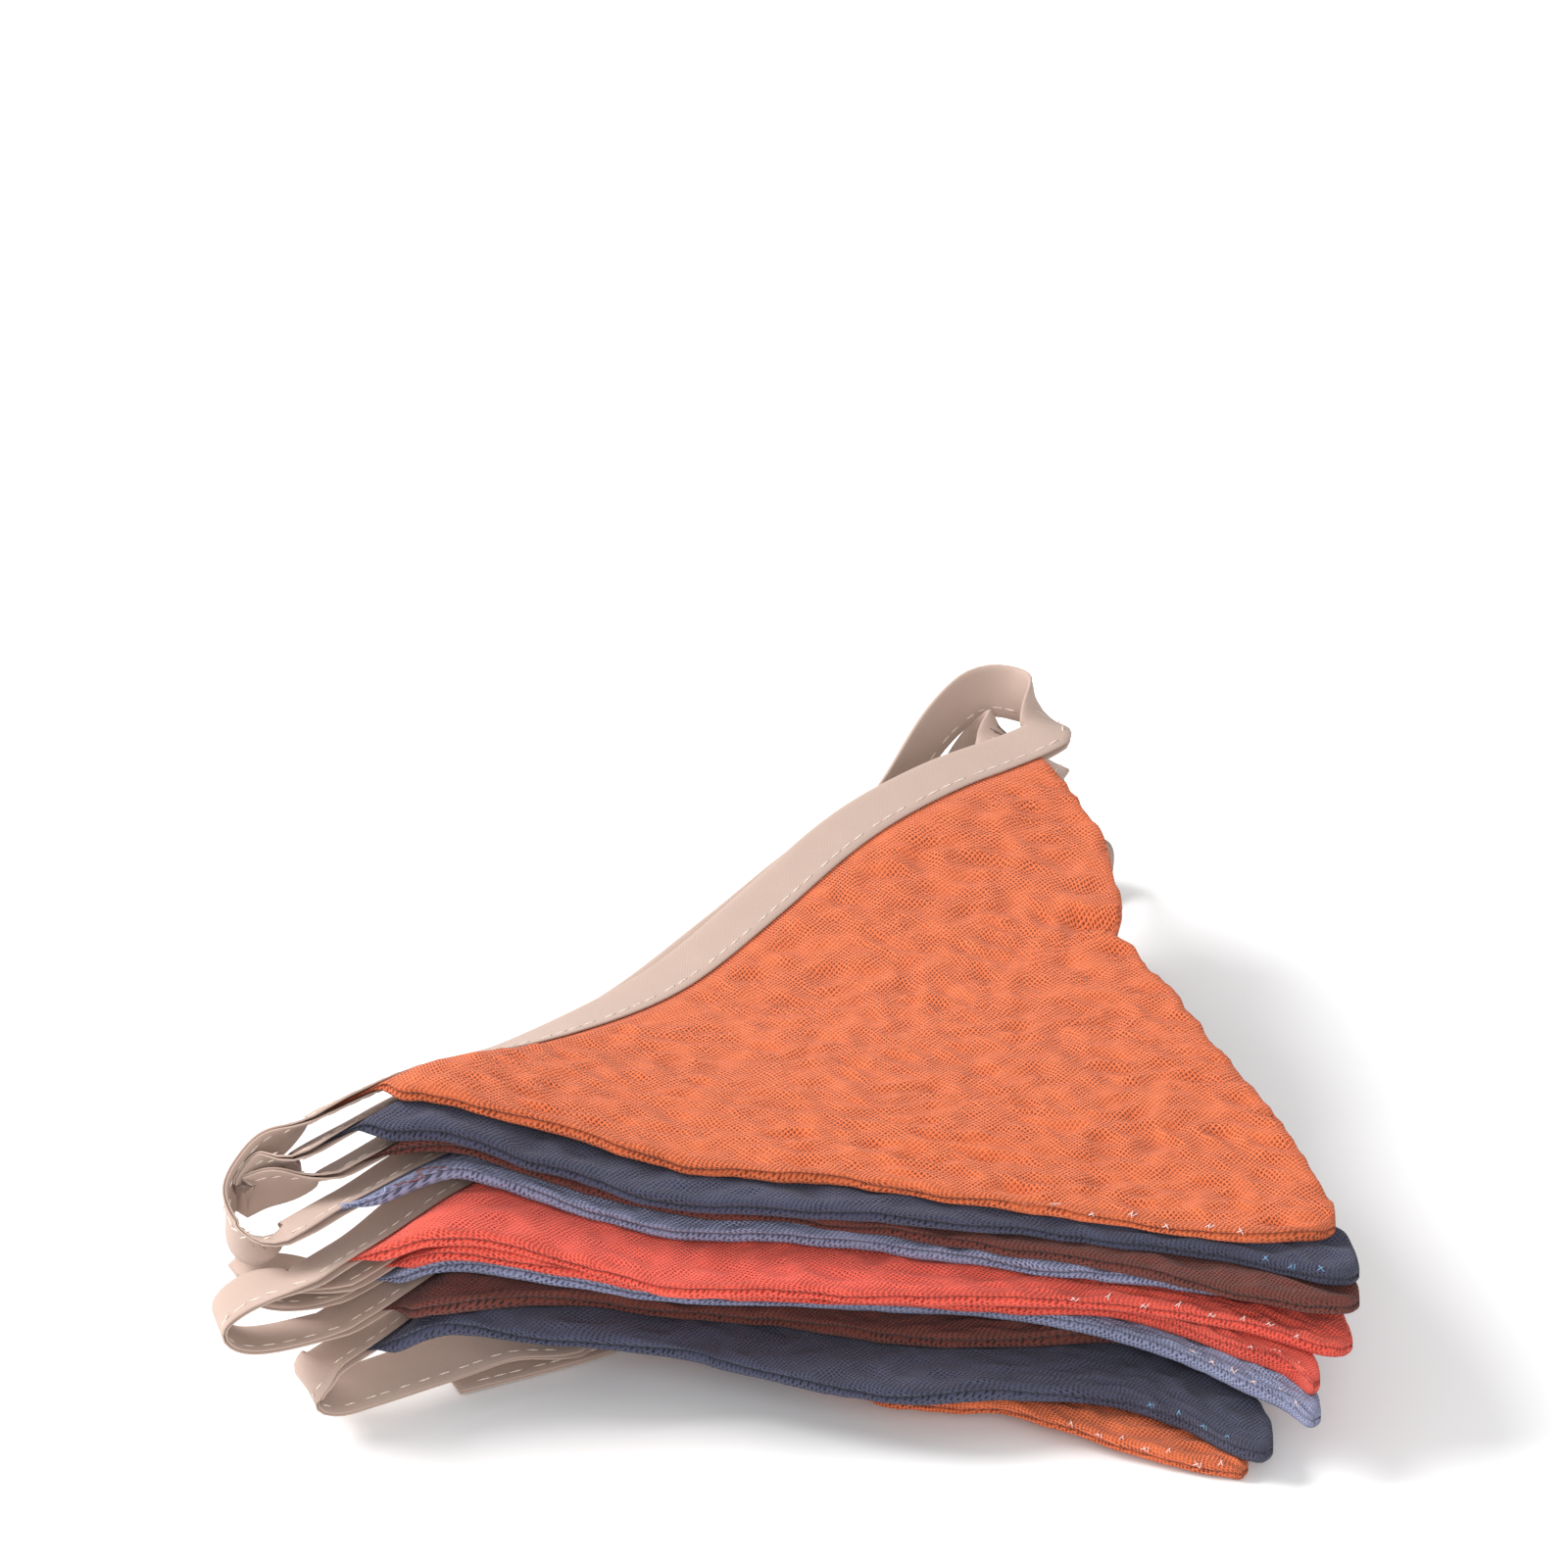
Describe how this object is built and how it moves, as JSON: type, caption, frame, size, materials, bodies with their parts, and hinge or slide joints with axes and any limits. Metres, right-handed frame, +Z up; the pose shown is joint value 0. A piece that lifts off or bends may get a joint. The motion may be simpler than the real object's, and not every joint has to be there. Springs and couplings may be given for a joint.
{
  "type": "folded fabric bunting",
  "caption": "String of crinkled gauze pennants on one beige binding tape, folded back and forth into a flat stack with the tape looping at two corners.",
  "frame": {"origin": "middle of the folded stack's outline, on the surface it rests on", "axes": "+X along the front hems towards the pennants' tips, +Y away from the front hems towards the back corner, +Z up through the stack"},
  "size_m": [0.2028, 0.2042, 0.0548],
  "materials": {
    "orange": "crinkled double gauze, matt",
    "navy": "crinkled double gauze, matt",
    "brown": "crinkled double gauze, matt",
    "lavender": "crinkled double gauze, matt",
    "coral": "crinkled double gauze, matt",
    "beige": "plain woven cotton tape, matt"
  },
  "bodies": {
    "root": {"binding_tape": "beige", "pennant_01_orange": "orange", "pennant_02_navy": "navy", "pennant_03_brown": "brown", "pennant_04_lavender": "lavender", "pennant_05_coral": "coral", "pennant_06_coral": "coral", "pennant_07_lavender": "lavender", "pennant_08_brown": "brown", "pennant_09_navy": "navy", "pennant_10_orange": "orange"}
  },
  "joints": []
}
